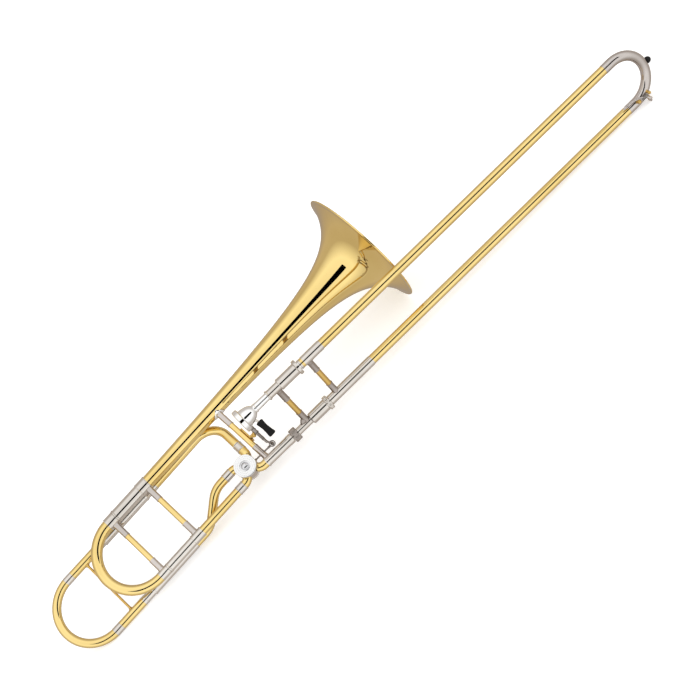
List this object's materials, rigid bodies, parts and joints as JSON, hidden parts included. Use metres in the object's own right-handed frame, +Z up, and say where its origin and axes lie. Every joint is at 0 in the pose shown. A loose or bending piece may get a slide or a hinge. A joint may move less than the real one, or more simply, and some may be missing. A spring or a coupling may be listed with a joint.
{
  "type": "trombone",
  "caption": "Tenor trombone with an F attachment: hand slide, two tuning slides, thumb-operated rotary valve, water key and removable mouthpiece.",
  "frame": {"origin": "middle of the footprint, on the table the instrument lies on", "axes": "+X along the hand slide from the mouthpiece towards the crook, +Z up from the table, +Y to the bell's side; the slide's plane stands upright and the bell's plane leans 37 degrees"},
  "size_m": [1.2992, 0.2496, 0.2197],
  "materials": {
    "lacquered_brass": "clear lacquer over polished yellow brass",
    "nickel_silver": "polished pale warm-grey metal",
    "silver_plate": "bright white plate, satin on the valve cap",
    "steel": "darker grey metal of the lever, link and rotor arm",
    "rubber": "matt black",
    "cork": "cork-brown pad"
  },
  "bodies": {
    "bell_section": {"bell_flare": "lacquered_brass", "bell_stem": "lacquered_brass", "bell_ferrule": "nickel_silver", "main_outer_leg_upper": "nickel_silver", "main_outer_leg_lower": "nickel_silver", "leg_brace": "nickel_silver", "rotor_casing": "nickel_silver", "rotor_cap": "silver_plate", "rotor_back_plate": "nickel_silver", "main_tube": "lacquered_brass", "main_tube_ferrule": "nickel_silver", "crossover_tube": "lacquered_brass", "crossover_ferrule": "nickel_silver", "neck_tube": "lacquered_brass", "neck_ferrule": "nickel_silver", "f_outer_leg_upper": "nickel_silver", "f_outer_leg_lower": "nickel_silver", "receiver_elbow": "lacquered_brass", "slide_receiver": "nickel_silver", "bell_brace_upper": "nickel_silver", "bell_brace_tube": "lacquered_brass", "bell_brace_lower": "nickel_silver", "lever_bracket": "lacquered_brass"},
    "rotor": {"rotor_plug": "nickel_silver", "rotor_arm": "steel"},
    "thumb_lever": {"lever_shaft": "steel", "thumb_paddle": "rubber"},
    "linkage": {"link_rod": "steel"},
    "main_tuning_slide": {"main_inner_leg_upper": "nickel_silver", "main_inner_leg_lower": "nickel_silver", "main_bow": "lacquered_brass", "main_bow_brace": "nickel_silver"},
    "f_tuning_slide": {"f_inner_leg_upper": "nickel_silver", "f_inner_leg_lower": "nickel_silver", "f_bow": "lacquered_brass", "f_bow_brace": "nickel_silver"},
    "inner_slide": {"slide_tenon": "nickel_silver", "mouthpiece_receiver": "nickel_silver", "cork_barrel_upper": "nickel_silver", "cork_barrel_lower": "nickel_silver", "inner_tube_upper": "silver_plate", "inner_tube_lower": "silver_plate", "inner_brace_lower": "nickel_silver", "inner_brace_tube": "lacquered_brass", "inner_brace_upper": "nickel_silver"},
    "slide_nut": {"lock_nut": "nickel_silver"},
    "slide_lock": {"slide_lock_ring": "nickel_silver"},
    "mouthpiece": {"mouthpiece": "silver_plate"},
    "outer_slide": {"outer_tube_upper": "lacquered_brass", "outer_tube_lower": "lacquered_brass", "sleeve_upper": "nickel_silver", "sleeve_lower": "nickel_silver", "hand_brace_lower": "nickel_silver", "hand_brace_tube": "lacquered_brass", "hand_brace_upper": "nickel_silver", "slide_crook": "nickel_silver", "slide_bumper": "rubber", "water_key_bracket": "lacquered_brass"},
    "water_key": {"water_key_lever": "nickel_silver", "water_key_pad": "cork"}
  },
  "joints": [
    {"name": "slide_swivel", "type": "hinge", "parent": "bell_section", "child": "inner_slide", "pos_m": [-0.17612, -0.10359, 0.02718], "axis": [0.9997, 0, -0.0225], "range_deg": [0, 45]},
    {"name": "nut_turn", "type": "hinge", "parent": "inner_slide", "child": "slide_nut", "pos_m": [-0.16972, -0.10359, 0.02703], "axis": [0.9997, 0, -0.0225], "continuous": true},
    {"name": "slide_lock_turn", "type": "hinge", "parent": "inner_slide", "child": "slide_lock", "pos_m": [-0.09794, -0.10359, 0.02542], "axis": [0.9997, 0, -0.0225], "range_deg": [0, 35]},
    {"name": "hand_slide", "type": "slide", "parent": "inner_slide", "child": "outer_slide", "axis": [0.9997, 0, -0.0225], "range_m": [0, 0.58]},
    {"name": "water_key_turn", "type": "hinge", "parent": "outer_slide", "child": "water_key", "pos_m": [0.5998, -0.1168, 0.01479], "axis": [-0.9997, 0, 0.0225], "range_deg": [0, 12], "stiffness_Nm_per_rad": 0.15, "springref_deg": -17.19},
    {"name": "mouthpiece_pull", "type": "slide", "parent": "inner_slide", "child": "mouthpiece", "axis": [-0.9997, 0, 0.0225], "range_m": [0, 0.022]},
    {"name": "main_tuning", "type": "slide", "parent": "bell_section", "child": "main_tuning_slide", "axis": [-0.9984, -0.053, -0.0174], "range_m": [0, 0.05]},
    {"name": "f_tuning", "type": "slide", "parent": "bell_section", "child": "f_tuning_slide", "axis": [-0.9984, -0.053, -0.0174], "range_m": [0, 0.07]},
    {"name": "thumb_press", "type": "hinge", "parent": "bell_section", "child": "thumb_lever", "pos_m": [-0.21014, -0.07435, 0.05745], "axis": [-0.0528, 0.7974, 0.6011], "range_deg": [0, 32.7], "stiffness_Nm_per_rad": 0.25, "springref_deg": -22.92},
    {"name": "rotor_turn", "type": "hinge", "parent": "bell_section", "child": "rotor", "pos_m": [-0.25971, -0.09097, 0.03855], "axis": [0.018, -0.6011, 0.799], "range_deg": [0, 90.1]},
    {"name": "link_shift", "type": "slide", "parent": "bell_section", "child": "linkage", "axis": [-0.9842, -0.1433, 0.1037], "range_m": [0, 0.01692]}
  ],
  "couplings": [
    {"joint": "rotor_turn", "follows": "thumb_press", "ratio": 2.7523},
    {"joint": "link_shift", "follows": "thumb_press", "m_per_rad": 0.02962}
  ]
}
